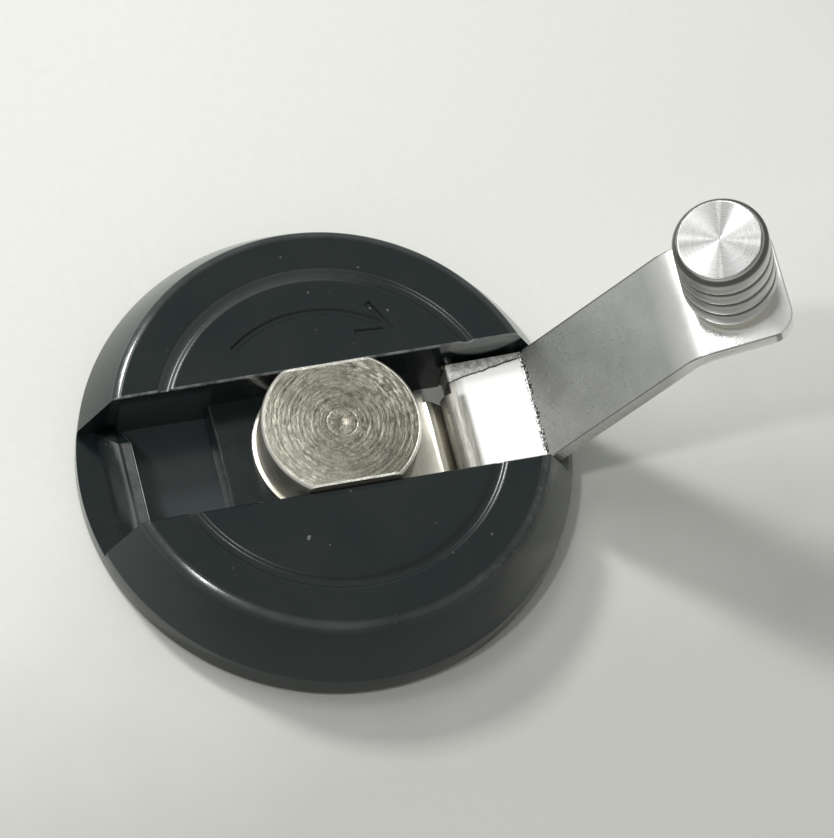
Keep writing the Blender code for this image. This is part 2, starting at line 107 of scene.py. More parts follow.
HEAD_R = 4.05
HEAD_LIFT = 0.4           # the leaf lies in this gap
SHANK_R = 1.6

LEAF_T = 0.3
LEAF_UNDER = SLOT_Z + GAP / 2

LEVER_HALF = 3.05
SHEET_T = 0.87
KNUCKLE_R = 0.88
FLAT_ANGLE = math.radians(2.0)
RISE_ANGLE = math.radians(55.3)
PAD_ANGLE = math.radians(16.0)
FLAT_REACH = 3.5          # from the hinge axis to the first crease
RISE_LENGTH = 10.9
PAD_LENGTH = 5.19
CREASE_R = 0.1
KNEE_R = 1.9
PAD_CORNER_R = 1.3
CREASE_X = FOLD.x + FLAT_REACH
KNEE_X = CREASE_X + RISE_LENGTH * math.cos(RISE_ANGLE)

KNOB_H = 6.0
KNOB_R = 2.38
KNOB_BASE_R = 2.0
KNOB_BASE_TOP = GAP + 0.55
RIB_COUNT = 4
RIB_LOW = KNOB_BASE_TOP + 0.35
RIB_HIGH = KNOB_H - 0.25
RIB_FLOOR_R = KNOB_R - 0.24
STEM_R = 0.8

SCREW_R = 0.45


# ---------------------------------------- modelling by hand
def deselect():
    for obj in bpy.context.selected_objects:
        obj.select_set(False)


def pick(piece):
    deselect()
    piece.select_set(True)
    bpy.context.view_layer.objects.active = piece


def draw(name, points):
    """Squeeze a plane to one point, then pull the outline out of it point by point."""
    deselect()
    bpy.ops.mesh.primitive_plane_add(size=MM)
    piece = bpy.context.active_object
    piece.name = name
    bpy.ops.object.mode_set(mode="EDIT")
    bpy.ops.mesh.select_mode(type="VERT")
    bpy.ops.mesh.select_all(action="SELECT")
    bpy.ops.mesh.merge(type="CENTER")
    bpy.ops.transform.translate(value=Vector(points[0]) * MM)
    for last, point in zip(points, points[1:]):
        pull = (Vector(point) - Vector(last)) * MM
        bpy.ops.mesh.extrude_region_move(TRANSFORM_OT_translate={"value": pull})
    bpy.ops.mesh.select_all(action="SELECT")
    return piece


def enclosed(piece):
    """Volume inside a closed mesh. Negative if its faces point inwards."""
    mesh = piece.data
    mesh.calc_loop_triangles()
    total = 0.0
    for triangle in mesh.loop_triangles:
        a, b, c = (mesh.vertices[i].co for i in triangle.vertices)
        total += a.dot(b.cross(c)) / 6.0
    return total


def tidy_mesh():
    """Close seams and turn every face outwards. Ends edit mode."""
    bpy.ops.mesh.select_all(action="SELECT")
    bpy.ops.mesh.remove_doubles(threshold=1e-6)
    bpy.ops.mesh.normals_make_consistent(inside=False)
    bpy.ops.object.mode_set(mode="OBJECT")
    if enclosed(bpy.context.active_object) < 0.0:
        bpy.ops.object.mode_set(mode="EDIT")
        bpy.ops.mesh.flip_normals()
        bpy.ops.object.mode_set(mode="OBJECT")


def lathe(name, profile, steps):
    """Spin a (radius, height) outline once about Z."""
    piece = draw(name, [(radius, 0.0, height) for radius, height in profile])
    bpy.ops.mesh.spin(steps=steps, angle=2 * math.pi, center=(0, 0, 0), axis=(0, 0, 1))
    tidy_mesh()
    return piece


def block(name, outline, depth):
    """Fill an outline and pull it out along a vector."""
    piece = draw(name, outline)
    bpy.ops.mesh.edge_face_add()
    bpy.ops.mesh.extrude_region_move(TRANSFORM_OT_translate={"value": Vector(depth) * MM})
    tidy_mesh()
    return piece


def across(name, outline, low, high):
    """A block with an (x, z) outline, running along Y."""
    return block(name, [(x, low, z) for x, z in outline], (0, high - low, 0))


def upright(name, outline, low, high):
    """A block with an (x, y) outline, standing along Z."""
    return block(name, [(x, y, low) for x, y in outline], (0, 0, high - low))


def lengthways(name, outline, low, high):
    """A block with a (y, z) outline, running along X."""
    return block(name, [(low, y, z) for y, z in outline], (high - low, 0, 0))


def rectangle(left, right, low, high):
    """Corners of a rectangle, in order round it."""
    return [(left, low), (right, low), (right, high), (left, high)]


def arc(cx, cy, radius, start, end, steps):
    """Points along an arc, both ends among them."""
    points = []
    for i in range(steps + 1):
        turn = start + (end - start) * i / steps
        points.append((cx + radius * math.cos(turn), cy + radius * math.sin(turn)))
    return points


def soften(points, cuts, segments=3):
    """Round each corner of an outline off, starting this far from it. 0 leaves it sharp."""
    soft = []
    for i, (point, cut) in enumerate(zip(points, cuts)):
        here = Vector(point)
        if cut == 0.0:
            soft.append(point)
            continue
        before = here + (Vector(points[i - 1]) - here).normalized() * cut
        after = here + (Vector(points[(i + 1) % len(points)]) - here).normalized() * cut
        for k in range(segments + 1):
            t = k / segments
            place = before * (1 - t) ** 2 + here * 2 * t * (1 - t) + after * t ** 2
            soft.append((place.x, place.y))
    return soft


def carve(piece, tool, how="DIFFERENCE"):
    """Cut a tool's shape out of a piece, or join it on, and use the tool up."""
    modifier = piece.modifiers.new("carve", "BOOLEAN")
    modifier.operation = how
    modifier.solver = "EXACT"
    modifier.object = tool
    pick(piece)
    bpy.ops.object.modifier_apply(modifier=modifier.name)
    bpy.data.objects.remove(tool, do_unlink=True)


def round_selected(width, segments, clamp):
    """Bevel the selected edges round and end edit mode."""
    bpy.ops.mesh.bevel(offset=width * MM, segments=segments, affect="EDGES", clamp_overlap=clamp)
    bpy.ops.mesh.select_mode(type="VERT")
    tidy_mesh()


def ease_edges(piece, width, segments, sharper_than):
    """Round every edge of a piece that turns by more than this many degrees."""
    pick(piece)
    bpy.ops.object.mode_set(mode="EDIT")
    bpy.ops.mesh.select_mode(type="EDGE")
    bpy.ops.mesh.select_all(action="DESELECT")
    bpy.ops.mesh.edges_select_sharp(sharpness=math.radians(sharper_than))
    round_selected(width, segments, clamp=True)


def select_edges(piece, chosen):
    """Select just these edges of a piece and enter edit mode."""
    pick(piece)
    bpy.context.tool_settings.mesh_select_mode = (False, True, False)
    for face in piece.data.polygons:
        face.select = False
    for vertex in piece.data.vertices:
        vertex.select = False
    for edge in piece.data.edges:
        edge.select = edge.index in chosen
    bpy.ops.object.mode_set(mode="EDIT")


def ease_outline(piece, width, segments):
    """Round the outer edges that turn by more than 60 degrees, and leave the inner ones."""
    least_turn = math.cos(math.radians(60.0))
    beside = {}
    for face in piece.data.polygons:
        for key in face.edge_keys:
            beside.setdefault(key, []).append(face)
    chosen = set()
    for edge in piece.data.edges:
        first, second = beside[edge.key]
        outer = (second.center - first.center).dot(first.normal) < 0
        if outer and first.normal.dot(second.normal) < least_turn:
            chosen.add(edge.index)
    select_edges(piece, chosen)
    round_selected(width, segments, clamp=False)


def move(piece, x, y, z):
    """Shift a piece, leaving its own origin where the world's is."""
    pick(piece)
    piece.location = Vector((x, y, z)) * MM
    bpy.ops.object.transform_apply(location=True, rotation=False, scale=False)


def stand_on_pad(piece):
    """Tilt a piece drawn upright about Z so that it stands squarely on the pad."""
    pick(piece)
    turn = Matrix.Rotation(-PAD_ANGLE, 4, "Y")
    piece.matrix_world = Matrix.Translation(KNOB_FOOT * MM) @ turn
    bpy.ops.object.transform_apply(location=True, rotation=True, scale=False)


def finish(piece, material, body, nodes, smooth=30.0):
    """Shade a piece, give it its material and fasten it to its body."""
    pick(piece)
    bpy.ops.object.mode_set(mode="EDIT")
    tidy_mesh()
    bpy.ops.object.shade_smooth_by_angle(angle=math.radians(smooth))
    piece.data.materials.clear()
    piece.data.materials.append(material)
    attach(piece, body)
    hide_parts(*nodes)


# ---------------------------------------- material helpers
def new_material(name, colour, metallic, roughness):
    """A material and its Principled shader, whose sockets the marks and tones are joined to."""
    material = bpy.data.materials.new(name)
    material.use_nodes = True
    shader = material.node_tree.nodes["Principled BSDF"]
    feed(shader, {"Base Color": colour, "Metallic": metallic, "Roughness": roughness})
    return material, shader


def node(beside, kind, **settings):
    """A new node in the same tree as a node or socket that is there already."""
    made = beside.id_data.nodes.new(kind)
    for name, value in settings.items():
        setattr(made, name, value)
    return made


def join(source, target):
    """Feed a socket from another socket, or set it to a fixed number or colour."""
    if isinstance(source, bpy.types.NodeSocket):
        target.id_data.links.new(source, target)
    elif isinstance(source, tuple):
        target.default_value = (*source, 1.0)
    else:
        target.default_value = source


def feed(made, values):
    """Join these values to a node's sockets of these names."""
    for name, value in values.items():
        join(value, made.inputs[name])


def place(shader, centre=(0, 0, 0), turn=(0, 0, 0), scale=(1, 1, 1)):
    """Object coordinates, centred on a point given in millimetres, turned and stretched."""
    coordinates = node(shader, "ShaderNodeTexCoord")
    mapping = node(shader, "ShaderNodeMapping", vector_type="TEXTURE")
    feed(mapping, {"Vector": coordinates.outputs["Object"], "Location": Vector(centre) * MM,
                   "Rotation": Vector(turn)})
    stretch = node(shader, "ShaderNodeMapping", vector_type="POINT")
    feed(stretch, {"Vector": mapping.outputs["Vector"], "Scale": Vector(scale)})
    return stretch.outputs["Vector"]


def calculate(operation, *values):
    """A Math node. At least one of its values is a socket."""
    beside = [value for value in values if isinstance(value, bpy.types.NodeSocket)][0]
    made = node(beside, "ShaderNodeMath", operation=operation)
    for socket, value in zip(made.inputs, values):
        join(value, socket)
    return made.outputs[0]


def times(first, *others):
    """The product of these values, such as the place where masks overlap."""
    for other in others:
        first = calculate("MULTIPLY", first, other)
    return first


def plus(first, second):
    return calculate("ADD", first, second)


def minus(first, second):
    return calculate("SUBTRACT", first, second)


def apart(value, centre):
    """How far a value is from a centre, on either side."""
    return calculate("ABSOLUTE", minus(value, centre))


def noise(vector, size, seed=0.0, detail=3.0, roughness=0.6):
    """Noise whose features are about this many millimetres across."""
    made = node(vector, "ShaderNodeTexNoise", noise_dimensions="4D")
    feed(made, {"Vector": vector, "W": seed, "Scale": 1.0 / (size * MM), "Detail": detail,
                "Roughness": roughness})
    return made.outputs["Fac"]


def spread(value, low, high, to_low=0.0, to_high=1.0):
    """Stretch a value between two limits over a new range, and clamp it there."""
    made = node(value, "ShaderNodeMapRange", clamp=True)
    feed(made, {"Value": value, "From Min": low, "From Max": high, "To Min": to_low,
                "To Max": to_high})
    return made.outputs["Result"]


def between(value, low, high, to_low=0.0, to_high=1.0):
    """As spread, for a place or a distance whose limits are in millimetres."""
    return spread(value, low * MM, high * MM, to_low, to_high)


def strip(value, centre, half, soft):
    """A stripe about a place in millimetres, fully marked to half its width, then fading."""
    return between(apart(value, centre * MM), half + soft, half)


def blend(factor, first, second):
    """Mix two colours. Either may be a fixed colour or a socket."""
    made = node(factor, "ShaderNodeMix", data_type="RGBA")
    join(factor, made.inputs["Factor"])
    # The node's colour sockets share their names with others, so they are taken by number.
    join(first, made.inputs[6])
    join(second, made.inputs[7])
    return made.outputs[2]


def split(vector):
    made = node(vector, "ShaderNodeSeparateXYZ")
    join(vector, made.inputs[0])
    return made.outputs[0], made.outputs[1], made.outputs[2]


def from_axis(vector):
    """Distance from the Z axis of these coordinates."""
    x, y = split(vector)[:2]
    return calculate("SQRT", plus(times(x, x), times(y, y)))


def turned_marks(vector, pitch, seed, waver):
    """Noise drawn out into rings about the Z axis of these coordinates, as a lathe tool leaves.

    The rings are about the pitch apart. More waver breaks each ring up into shorter marks.
    """
    x, y, z = split(vector)
    radius = from_axis(vector)
    safe = plus(radius, 1e-6)
    joined = node(vector, "ShaderNodeCombineXYZ")
    join(times(calculate("DIVIDE", x, safe), waver), joined.inputs[0])
    join(times(calculate("DIVIDE", y, safe), waver), joined.inputs[1])
    join(times(plus(radius, z), 1.0 / (pitch * MM)), joined.inputs[2])
    whole_unit = 1.0 / MM
    return noise(joined.outputs[0], whole_unit, seed, detail=4.0)


def coat(shader, colour, rough, height, strength, depth):
    """Give a shader its colour, its roughness and fine relief this many millimetres deep."""
    relief = node(shader, "ShaderNodeBump")
    feed(relief, {"Strength": strength, "Distance": depth * MM, "Height": height})
    feed(shader, {"Base Color": colour, "Roughness": rough, "Normal": relief.outputs["Normal"]})


# ---------------------------------------- finishes
def shoulder_wear(here, x, y, radius):
    """Patchy wear round the near right of the cap's shoulder."""
    around = times(between(radius, TOP_R - 0.1, TOP_R + 0.1),
                   between(radius, SHOULDER_R + 0.2, SHOULDER_R - 0.05))
    near_right = times(between(x, 4.0, 8.0), between(y, -3.0, -4.5))
    patchy = spread(noise(here, 0.7, seed=5.0, detail=4.0, roughness=0.7), 0.5, 0.62)
    return times(around, near_right, patchy)


def tone_cone(colour, rubs, x, y, z, radius):
    """The cone is painted paler towards the near right, a painted reflection of the floor there,
    and a paler ring runs round the shoulder.
    """
    cone = times(between(radius, SHOULDER_R, SHOULDER_R + 0.3, 0.0, 0.8), between(z, 0.02, 0.1))
    # painted reflection: the cone is painted paler towards the near right
    cone_reflection = times(cone, between(x, 6.0, 11.0), between(y, 1.0, -4.0))
    colour = blend(cone_reflection, colour, (0.15, 0.158, 0.154))
    ring = times(strip(radius, SHOULDER_R - 0.15, 0.1, 0.2), spread(rubs, 0.35, 0.65, 0.2, 0.8),
                 between(z, SKIRT_Z, SKIRT_Z + 0.4))
    return blend(ring, colour, (0.075, 0.083, 0.082))


def paint_slot_edge_highlights(colour, here, x, y, z):
    """Painted highlights on the crest, the pocket's right edge and the slot's far top edge, and a
    painted reflection behind the crest.
    """
    streak = noise(here, 0.9, seed=21.0, detail=4.0, roughness=0.65)
    in_slot = between(calculate("ABSOLUTE", y), SLOT_HALF, SLOT_HALF - 0.06)
    crest = times(between(z, RIDGE_OUT_Z - 0.1, RIDGE_OUT_Z + 0.05), in_slot)
    # painted reflection: a grey strip on the ridge's top, behind its crest
    back = times(strip(x, CREST_X - 0.27, 0.16, 0.06), crest, spread(streak, 0.3, 0.6, 0.4, 1.0))
    colour = blend(back, colour, (0.1, 0.105, 0.103))
    # painted highlight: a bright ragged line along the crest's edge
    edge = times(strip(x, CREST_X + 0.01, 0.035, 0.03), crest,
                 spread(streak, 0.35, 0.55, 0.35, 1.0), between(y, 1.5, -0.5, 0.25, 1.0))
    colour = blend(edge, colour, (0.6, 0.61, 0.59))
    # painted highlight along the pocket's right edge
    step = times(strip(x, POCKET_RIGHT + 0.06, 0.03, 0.03), between(z, SLOT_Z - 0.2, SLOT_Z - 0.1),
                 in_slot, spread(streak, 0.35, 0.6))
    colour = blend(step, colour, (0.3, 0.31, 0.3))
    # painted highlight along the slot's far top edge
    far = times(strip(y, SLOT_HALF + 0.02, 0.05, 0.03), between(z, TOP_Z - 0.2, TOP_Z - 0.08),
                spread(streak, 0.4, 0.6, 0.25, 1.0))
    return blend(far, colour, (0.3, 0.31, 0.3))


def paint_pocket_reflection(colour, x, y, z):
    """The pocket's walls and floor are painted a little paler than the polished top, as a painted
    reflection.
    """
    # painted reflection: the pocket's walls and floor are painted paler
    along_x = times(between(x, POCKET_RIGHT + 0.23, POCKET_RIGHT - 0.07),
                    between(x, CREST_X - 0.05, CREST_X + 0.05))
    deep = times(between(z, 4.3, 3.6), between(z, 0.3, 0.6))
    inside = between(calculate("ABSOLUTE", y), SLOT_HALF + 0.1, SLOT_HALF + 0.02)
    return blend(times(along_x, deep, inside), colour, (0.045, 0.055, 0.056))


def paint_far_wall_reflection(colour, x, y, z):
    """A grey lens painted on the slot's far wall beside the lever, pointed at its left end: a
    painted reflection of the lever.
    """
    wall = times(between(y, SLOT_HALF - 0.04, SLOT_HALF - 0.02),
                 between(y, SLOT_HALF + 0.04, SLOT_HALF + 0.02))
    off_middle = minus(x, 8.7 * MM)
    belly = times(off_middle, off_middle, 260.0)
    lens = between(minus(minus(z, 3.0 * MM), belly), 0.0, 0.3)
    ends = between(apart(x, 9.0 * MM), 2.4, 2.0)
    # painted reflection of the lever on the far wall
    return blend(times(wall, lens, ends), colour, (0.25, 0.26, 0.25))


def black_gloss():
    """Glossy black with faint rub marks, a little dust and worn edges, and painted highlights,
    sheen and reflections on the cone, slot edges, ring, pocket and far wall.
    """
    base = (0.012, 0.017, 0.017)
    material, shader = new_material("black_gloss", base, metallic=0.0, roughness=0.14)
    here = place(shader)
    x, y, z = split(here)
    radius = from_axis(here)
    rubs = noise(here, 5.0, detail=4.0)
    fine = noise(here, 0.35, seed=3.0)
    dust = times(spread(noise(here, 0.3, seed=7.0, detail=1.0, roughness=0.4), 0.76, 0.8),
                 spread(noise(here, 6.0, seed=9.0, detail=2.0, roughness=0.5), 0.5, 0.62))
    worn = shoulder_wear(here, x, y, radius)
    colour = blend(spread(rubs, 0.35, 0.7), (0.009, 0.0145, 0.0148), (0.014, 0.0195, 0.0195))
    colour = blend(dust, colour, (0.14, 0.14, 0.125))
    colour = blend(worn, colour, (0.1, 0.1, 0.095))
    colour = tone_cone(colour, rubs, x, y, z, radius)
    colour = paint_slot_edge_highlights(colour, here, x, y, z)
    groove = times(strip(radius, GROOVE_R, 0.3, 0.08), between(z, TOP_Z - 0.2, TOP_Z - 0.08))
    # painted sheen: the ring's groove is painted paler on its far left, where the lamps catch it
    groove_sheen_side = between(minus(y, x), 3.0, 8.0)
    colour = blend(times(groove, groove_sheen_side), colour, (0.05, 0.055, 0.054))
    colour = paint_pocket_reflection(colour, x, y, z)
    colour = paint_far_wall_reflection(colour, x, y, z)
    rough = plus(spread(rubs, 0.3, 0.75, 0.1, 0.2), spread(fine, 0.4, 0.75, 0.0, 0.06))
    for mask, rise in ((worn, 0.3), (dust, 0.5), (groove, 0.16)):
        rough = plus(rough, times(mask, rise))
    coat(shader, colour, rough, fine, strength=0.12, depth=0.02)
    return material


def paint_stud_light(colour, here, x, y):
    """Painted light on the rings: painted glints in flecks on both sides, a painted sheen brightest
    at the left and painted shade at the near right, over a random darker mottle.
    """
    diagonal = plus(times(x, 0.85), times(y, 0.5))
    # painted glints: bright flecks in the rings on both sides
    flecks = times(spread(turned_marks(here, 0.16, seed=6.0, waver=7.0), 0.5, 0.6),
                   between(calculate("ABSOLUTE", diagonal), 1.4, 3.0), 0.9)
    colour = blend(flecks, colour, (0.95, 0.92, 0.8))
    broad = spread(noise(here, 1.6, seed=11.0), 0.4, 0.6, 0.0, 0.25)
    colour = blend(broad, colour, (0.16, 0.155, 0.12))
    # painted shade at the near right
    near_right = minus(times(x, 0.8), times(y, 0.6))
    colour = blend(between(near_right, 0.3, 3.2, 0.0, 0.42), colour, (0.15, 0.145, 0.115))
    # painted sheen, brightest at the left
    return blend(between(diagonal, -0.6, -3.2, 0.0, 0.3), colour, (0.8, 0.77, 0.65))


def stud_steel():
    """Warm grey steel with coarse rings from the lathe, painted light on the rings, painted
    highlights on the top's edges and painted shade on a duller side.
    """
    material, shader = new_material("turned_stud", (0.36, 0.34, 0.28), metallic=1.0, roughness=0.34)
    here = place(shader, (STUD_X, 0, 0))
    x, y, z = split(here)
    rings = plus(times(turned_marks(here, 0.3, seed=1.0, waver=2.6), 0.5),
                 times(turned_marks(here, 0.085, seed=4.0, waver=5.0), 0.5))
    grain = noise(here, 0.4, seed=2.0, detail=5.0, roughness=0.75)
    mixed = plus(times(rings, 0.62), times(grain, 0.38))
    colour = blend(spread(mixed, 0.41, 0.6), (0.1, 0.096, 0.072), (0.6, 0.575, 0.48))
    colour = paint_stud_light(colour, here, x, y)
    top = corners("drive_stud")[1].z
    upper = between(z, top - 0.22, top - 0.18)
    rim = between(from_axis(here), HEAD_R - 0.22, HEAD_R - 0.17)
    flats = between(calculate("ABSOLUTE", y), 3.15, 3.19)
    # painted highlight along the rim and the flats at the top
    edge = times(calculate("MAXIMUM", rim, flats), upper)
    colour = blend(edge, colour, (0.95, 0.93, 0.85))
    # painted shade: below the top the side is a flat darker grey, and half matt
    side = minus(1.0, upper)
    colour = blend(side, colour, (0.3, 0.29, 0.24))
    join(minus(1.0, times(side, 0.5)), shader.inputs["Metallic"])
    coat(shader, colour, spread(mixed, 0.35, 0.65, 0.46, 0.26), mixed, strength=0.85, depth=0.07)
    return material


def leaf_steel():
    """Warm bright spring steel with fine scratches across the slot."""
    material, shader = new_material("spring_leaf", (0.62, 0.58, 0.5), metallic=1.0, roughness=0.3)
    scratches = noise(place(shader, scale=(1.0, 0.06, 1.0)), 0.05, seed=2.0, roughness=0.7)
    stains = noise(place(shader), 1.3, seed=5.0)
    colour = blend(spread(stains, 0.35, 0.68), (0.8, 0.76, 0.64), (0.97, 0.94, 0.85))
    colour = blend(spread(scratches, 0.55, 0.75, 0.0, 0.5), colour, (0.45, 0.42, 0.36))
    rough = spread(scratches, 0.3, 0.7, 0.26, 0.44)
    coat(shader, colour, rough, scratches, strength=0.35, depth=0.012)
    return material


def speckle_rise(colour, here, x, z):
    """Dark pits and bright nicks on the lever's rise, most of them low down."""
    rise = times(between(x, CREASE_X, CREASE_X + 0.1), between(x, KNEE_X - 0.2, KNEE_X - 0.7))
    marks = times(rise, between(z, 11.0, 6.0, 0.25, 1.0))
    pits = spread(noise(here, 0.13, seed=6.0, roughness=0.7), 0.57, 0.66)
    colour = blend(times(pits, marks, 0.7), colour, (0.3, 0.31, 0.3))
    nicks = spread(noise(here, 0.15, seed=9.0, roughness=0.7), 0.6, 0.68)
    return blend(times(nicks, marks, 0.8), colour, (0.98, 0.98, 0.95))


def paint_end_highlights(colour, x, z):
    """The flat run, the knee and the pad are painted brighter than the rise: a painted highlight
    where they face the lamps.
    """
    flat = times(between(x, FOLD.x + 0.1, FOLD.x + 0.4),
                 between(x, CREASE_X - 0.05, CREASE_X - 0.15))
    pad = between(x, KNEE_X - 1.1, KNEE_X - 0.2)
    upper_face = between(z, 2.6, 2.9)
    # painted highlight on the flat run, knee and pad
    bright = times(calculate("MAXIMUM", flat, pad), upper_face)
    return blend(bright, colour, (0.98, 0.98, 0.955))


def paint_flat_reflection(colour, here, x, y):
    """A painted reflection of the slot's far wall on the flat run: a wavering dark line slants over
    the run, and beyond it the sheet is painted mottled.
    """
    slope = 0.165
    line = (2.2 - slope * (FOLD.x + 0.1)) * MM
    wander = times(minus(noise(here, 0.6, seed=8.0), 0.5), 0.25 * MM)
    slant = plus(minus(y, times(x, slope)), wander)
    on_flat = between(x, CREASE_X + 0.05, CREASE_X - 0.1)
    mottle = spread(noise(here, 0.25, seed=12.0, detail=4.0, roughness=0.7), 0.42, 0.6)
    mottled_reflection = blend(mottle, (0.5, 0.5, 0.48), (0.95, 0.95, 0.92))
    # painted reflection of the far wall, mottled, beyond a wavering dark line
    beyond = times(spread(slant, line, line + 0.03 * MM), on_flat)
    colour = blend(beyond, colour, mottled_reflection)
    reflection_edge = times(between(apart(slant, line), 0.06, 0.03), on_flat)
    return blend(reflection_edge, colour, (0.1, 0.1, 0.1))


def paint_crease_light(colour, here, x, z):
    """Along the first crease a ragged line is painted with dark gaps and bright bits: painted shade
    in the crease and painted highlights.
    """
    ragged = times(noise(here, 0.16, seed=15.0, detail=2.0), 0.22 * MM)
    # painted shade and highlights: a ragged line along the first crease with dark gaps and bright
    # bits
    crease_line = between(minus(apart(x, (CREASE_X + 0.03) * MM), ragged), 0.0, -0.03)
    crease_glints = spread(noise(here, 0.12, seed=17.0, detail=2.0, roughness=0.7), 0.46, 0.54)
    crease_shade_and_glints = blend(crease_glints, (0.07, 0.075, 0.075), (0.9, 0.9, 0.88))
    return blend(times(crease_line, between(z, 2.9, 3.0)), colour, crease_shade_and_glints)


def darken_edges(colour, x, y):
    """A thin dark line along both edges of the rise and the pad."""
    width = calculate("ABSOLUTE", y)
    line = times(between(width, LEVER_HALF - 0.1, LEVER_HALF - 0.07),
                 between(width, LEVER_HALF - 0.005, LEVER_HALF - 0.02),
                 between(x, CREASE_X, CREASE_X + 0.4, 0.0, 0.75))
    return blend(line, colour, (0.16, 0.16, 0.16))


def lever_steel():
    """Satin sheet steel, speckled grey on the rise, with painted light: painted highlights on the
    flat run, knee and pad, a painted reflection on the flat run, painted shade on the knuckle and
    painted shade and highlights along the first crease.
    """
    material, shader = new_material("lever_sheet", (0.66, 0.67, 0.65), metallic=1.0, roughness=0.4)
    here = place(shader)
    x, y, z = split(here)
    grain = noise(here, 0.07, seed=1.0, roughness=0.7)
    cloud = noise(here, 2.2, seed=3.0, detail=4.0)
    colour = blend(spread(cloud, 0.35, 0.7), (0.64, 0.65, 0.63), (0.76, 0.77, 0.75))
    colour = blend(spread(grain, 0.3, 0.7, 0.0, 0.35), colour, (0.45, 0.46, 0.45))
    colour = speckle_rise(colour, here, x, z)
    colour = paint_end_highlights(colour, x, z)

    # painted shade: the knuckle is painted a darker grey, toning down its highlight; its streaks
    # follow the drawn sheet
    drawn = noise(place(shader, scale=(1.0, 0.08, 1.0)), 0.1, seed=2.0, roughness=0.7)
    streaky = blend(spread(drawn, 0.35, 0.65), (0.24, 0.235, 0.21), (0.44, 0.43, 0.39))
    near_end = times(between(x, FOLD.x + 0.35, FOLD.x + 0.15), between(y, 1.4, 1.2))
    knuckle = calculate("MAXIMUM", near_end, between(x, FOLD.x, FOLD.x - 0.15))
    colour = blend(knuckle, colour, streaky)

    colour = paint_flat_reflection(colour, here, x, y)
    colour = paint_crease_light(colour, here, x, z)
    colour = darken_edges(colour, x, y)
    rough = plus(spread(cloud, 0.3, 0.7, 0.34, 0.42), spread(grain, 0.3, 0.7, 0.0, 0.08))
    rough = minus(rough, between(x, KNEE_X - 0.2, KNEE_X + 0.8, 0.0, 0.17))
    rough = plus(rough, between(x, KNEE_X + 1.4, KNEE_X + 3.2, 0.0, 0.1))
    rough = plus(rough, times(knuckle, 0.12))
    coat(shader, colour, rough, grain, strength=0.22, depth=0.012)
    return material


def towards(x, y, radius, degrees):
    """Cosine of the angle between a place on a turned face and this direction."""
    turn = math.radians(degrees)
    reach = plus(times(x, math.cos(turn)), times(y, math.sin(turn)))
    return calculate("DIVIDE", reach, plus(radius, 1e-6))


def within(cosine, outer, inner):
    """Full inside the inner angle, fading out at the outer one, both in degrees."""
    return spread(cosine, math.cos(math.radians(outer)), math.cos(math.radians(inner)))


def paint_face_rays(rings, x, y, radius):
    """Painted rays of light fixed in the spun face: a broad one each side and a thin one through
    it.
    """
    thin = within(calculate("ABSOLUTE", towards(x, y, radius, 77.0)), 5.5, 2.0)
    broad = calculate("MAXIMUM", within(towards(x, y, radius, 13.0), 28.0, 17.0),
                      within(towards(x, y, radius, 215.0), 42.0, 28.0))
    rays = calculate("MAXIMUM", broad, times(thin, 0.7))
    disc = blend(rays, (0.25, 0.248, 0.246), (0.47, 0.468, 0.46))
    return blend(spread(rings, 0.35, 0.68, 0.0, 0.25), disc, (0.6, 0.6, 0.59))


def knob_steel():
    """Bright turned steel with fine rings, and painted light: painted rays across the face, painted
    shade in the grooves and on the ribs, and a painted reflection of the pad on the base.
    """
    material, shader = new_material("turned_knob", (0.82, 0.81, 0.79), metallic=1.0, roughness=0.24)
    shader.inputs["Anisotropic"].default_value = 1.0
    tangent = node(shader, "ShaderNodeTangent", direction_type="UV_MAP", uv_map="turned")
    join(tangent.outputs[0], shader.inputs["Tangent"])
    here = place(shader, KNOB_FOOT, (0, -PAD_ANGLE, 0))
    x, y, z = split(here)
    radius = from_axis(here)
    rings = turned_marks(here, 0.05, seed=2.0, waver=0.5)
    stains = noise(here, 0.8, seed=4.0)
    colour = blend(spread(rings, 0.35, 0.68), (0.66, 0.655, 0.64), (0.88, 0.875, 0.86))
    colour = blend(spread(stains, 0.55, 0.8, 0.0, 0.4), colour, (0.55, 0.54, 0.52))
    ribbed = between(z, RIB_LOW - 0.15, RIB_LOW + 0.05)
    # painted shade in the grooves between the ribs
    groove_shade = times(between(radius, RIB_FLOOR_R - 0.03, RIB_FLOOR_R),
                    between(radius, KNOB_R - 0.005, KNOB_R - 0.07), ribbed,
                    between(z, RIB_HIGH + 0.12, RIB_HIGH + 0.06), 0.85)
    colour = blend(groove_shade, colour, (0.1, 0.1, 0.095))
    face = between(z, KNOB_H - 0.05, KNOB_H - 0.01)
    colour = blend(face, colour, paint_face_rays(rings, x, y, radius))
    # painted shade: the ribs' crowns are painted a little darker
    ribs = times(between(radius, KNOB_R - 0.08, KNOB_R - 0.04),
                 between(z, RIB_LOW - 0.05, RIB_LOW + 0.05), 0.27)
    colour = blend(ribs, colour, (0.25, 0.25, 0.24))
    # painted reflection of the pad on the knob's base
    pad_reflection = between(z, RIB_LOW, RIB_LOW - 0.1)
    colour = blend(pad_reflection, colour, (0.96, 0.93, 0.84))
    coat(shader, colour, spread(rings, 0.3, 0.7, 0.24, 0.3), rings, strength=0.15, depth=0.006)
    return material


